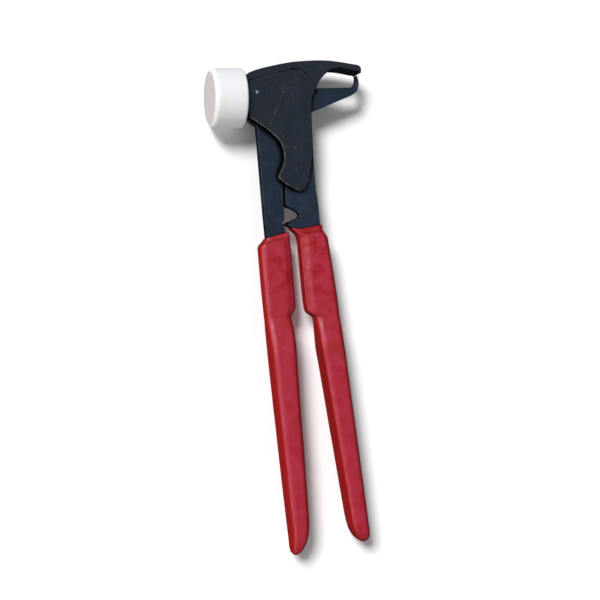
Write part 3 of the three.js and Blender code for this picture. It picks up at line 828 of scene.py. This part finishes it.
bronze = bare_metal("bush_bronze", (0.60, 0.42, 0.20), (0.36, 0.24, 0.11))
red = dipped_plastic("red_grip")
white = nylon("nylon")

cheek_edge = node_outline("front_cheek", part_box("front_cheek")[1].z)
seam_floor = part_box("spine_rivet_left")[0].y
near_cheek = near_any(cheek_edge, SEAM_REACH)
core_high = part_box("head_core")[1]
above_jaw_grip = outside_grip("jaw_grip")
above_fixed_grip = outside_grip("fixed_grip")


def under_beak(p):
    """The lower edges of the beak, front and back."""
    low_enough = p.y < core_high.y - BEAK_CLEARANCE
    outer = abs(p.z) > core_high.z - BEAK_SKIN
    return low_enough and outer and BEAK_SPAN[0] < p.x - PIVOT.x < BEAK_SPAN[1]


def on_top_seam(p):
    """The upper edge of a cheek, against the core's raised band."""
    return p.y > seam_floor


steel_piece("head_core_steel", "head_core", band_steel, seam=near_cheek, blunt=under_beak)
for side, steel in (("front", cheek_steel), ("rear", back_cheek_steel)):
    steel_piece(f"{side}_cheek_steel", f"{side}_cheek", steel, seam=on_top_seam, close=True)
steel_piece("jaw_lever_steel", "jaw_lever", jaw_lever_steel, open_air=above_jaw_grip)
steel_piece("fixed_lever_steel", "fixed_lever", fixed_lever_steel, open_air=above_fixed_grip)
grip_piece("jaw_grip_sleeve", "jaw_grip", red, 3.0)
grip_piece("fixed_grip_sleeve", "fixed_grip", red, 11.0)
tip_piece("hammer_tip_nylon", "hammer_tip", white)

# Material of the pieces that keep their CAD shape, in named groups
NODE_LOOKS = {
    "cheek_steel": (cheek_steel, (
        "pivot_rivet", "boss_rivet", "spine_rivet_left", "spine_rivet_right",
        "tail_rivet_upper", "tail_rivet_lower")),
    "bronze": (bronze, ("pivot_bush",)),
    "plain_steel": (machined, (
        "front_washer", "rear_washer", "boss_washer", "tip_insert", "hammer_stud", "stud_lock_pin")),
}
for slot_name, (material, node_names) in NODE_LOOKS.items():
    for node_name in node_names:
        node_object = frame["nodes"][node_name]
        node_object.data.materials.clear()
        node_object.data.materials.append(material)


# ---- Stage ---------------------------------------------------------------------------------------

def floor():
    """A plain pale floor that touches the hammer tip and passes a little below the ends of the grips."""
    tip_low, tip_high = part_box("hammer_tip")
    grip_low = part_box("jaw_grip")[0]
    front = Vector((0, (tip_low.y + tip_high.y) / 2, tip_low.z))
    back = Vector((0, grip_low.y + FLOOR_GRIP_INSET, grip_low.z - FLOOR_DROP))
    slope = math.atan2(front.z - back.z, front.y - back.y)
    bm = bmesh.new()
    bmesh.ops.create_grid(bm, x_segments=8, y_segments=8, size=FLOOR_SIZE / 2)
    mesh = bpy.data.meshes.new("floor")
    bm.to_mesh(mesh)
    bm.free()
    mesh.materials.append(floor_paper("floor_paper"))
    plane = bpy.data.objects.new("floor", mesh)
    plane.matrix_world = Matrix.Translation(front) @ Matrix.Rotation(slope, 4, "X")
    plane.visible_glossy = False
    plane.visible_diffuse = False
    bpy.context.scene.collection.objects.link(plane)


def key_light():
    """One soft key from the upper left."""
    tilt, turn = math.radians(KEY_TILT_DEG), math.radians(KEY_TURN_DEG)
    toward = Vector((-math.sin(tilt) * math.cos(turn), math.sin(tilt) * math.sin(turn), math.cos(tilt)))
    data = bpy.data.lights.new("key", "SUN")
    data.energy = KEY_STRENGTH
    data.angle = math.radians(KEY_ANGLE_DEG)
    light = bpy.data.objects.new("key", data)
    light.rotation_mode = "QUATERNION"
    light.rotation_quaternion = toward.to_track_quat("Z", "Y")
    bpy.context.scene.collection.objects.link(light)


def surroundings():
    """Fill from above and bounce from the floor below.

    Glossy surfaces see two other things: a cool panel, which the tool's flats mirror to the camera, and
    a bright strip on the left.
    """
    world = bpy.data.worlds.new("studio")
    world.use_nodes = True
    tree = world.node_tree
    tree.nodes.clear()

    def add(kind, inputs=None, **settings):
        node = tree.nodes.new(kind)
        for key, value in settings.items():
            setattr(node, key, value)
        for key, value in (inputs or {}).items():
            if isinstance(value, bpy.types.NodeSocket):
                tree.links.new(value, node.inputs[key])
            else:
                node.inputs[key].default_value = value
        return node

    def calculate(operation, *values):
        return add("ShaderNodeMath", dict(enumerate(values)), operation=operation).outputs[0]

    def faces(toward):
        node = add("ShaderNodeVectorMath", {0: direction, 1: toward}, operation="DOT_PRODUCT")
        return node.outputs["Value"]

    def ramp(value, span, low=0.0, high=1.0, kind="LINEAR"):
        inputs = {"Value": value, "From Min": span[0], "From Max": span[1], "To Min": low, "To Max": high}
        return add("ShaderNodeMapRange", inputs, interpolation_type=kind).outputs["Result"]

    def blend(factor, a, b):
        return add("ShaderNodeMix", {"Factor": factor, 2: a, 3: b}, data_type="FLOAT").outputs[0]

    direction = add("ShaderNodeTexCoord").outputs["Generated"]
    x, y, z = add("ShaderNodeSeparateXYZ", {0: direction}).outputs
    below = ramp(calculate("MULTIPLY_ADD", y, FILL_FROM_GRIPS, z), BELOW_SPAN)
    bounce = ramp(x, BOUNCE_SPAN, FILL_BELOW_LEFT, FILL_BELOW_RIGHT)
    ambient = blend(below, FILL_ABOVE, bounce)

    left, strip_turn = math.radians(CAMERA_LEFT_DEG), math.radians(STRIP_DEG)
    panel = ramp(faces((math.sin(left), 0.0, math.cos(left))), PANEL_SPAN, kind="SMOOTHSTEP")
    off_strip = calculate("ABSOLUTE", faces((math.cos(strip_turn), 0.0, math.sin(strip_turn))))
    strip = ramp(off_strip, STRIP_SPAN, 0.0, STRIP_STRENGTH, "SMOOTHSTEP")
    on_left = calculate("LESS_THAN", x, STRIP_LEFT_OF)
    shine = calculate("MULTIPLY_ADD", strip, on_left, calculate("MULTIPLY", panel, VEIL_STRENGTH))
    glossy = blend(below, shine, GLOSS_BELOW)

    fill = add("ShaderNodeBackground", {"Color": (1, 1, 1, 1), "Strength": ambient})
    veil = add("ShaderNodeBackground", {"Color": (*VEIL_COLOR, 1), "Strength": glossy})
    is_glossy = add("ShaderNodeLightPath").outputs["Is Glossy Ray"]
    pick = add("ShaderNodeMixShader", {0: is_glossy, 1: fill.outputs[0], 2: veil.outputs[0]})
    add("ShaderNodeOutputWorld", {"Surface": pick.outputs[0]})
    bpy.context.scene.world = world


def camera():
    """Looks down on the front of the tool from a little to its left."""
    left, roll = math.radians(CAMERA_LEFT_DEG), math.radians(CAMERA_ROLL_DEG)
    back = Vector((-math.sin(left), 0, math.cos(left)))
    level = Vector((math.cos(left), 0, math.sin(left)))
    right = level * math.cos(roll) + Vector((0, 1, 0)) * math.sin(roll)
    up = back.cross(right)
    data = bpy.data.cameras.new("camera")
    data.lens, data.sensor_width = LENS, SENSOR
    data.clip_start, data.clip_end = 0.01, 10.0
    eye = bpy.data.objects.new("camera", data)
    turn = Matrix((right, up, back)).transposed().to_4x4()
    eye.matrix_world = Matrix.Translation(CAMERA_TARGET + back * CAMERA_DISTANCE) @ turn
    bpy.context.scene.collection.objects.link(eye)
    bpy.context.scene.camera = eye


floor()
key_light()
surroundings()
camera()
bpy.context.scene.view_settings.view_transform = "Standard"
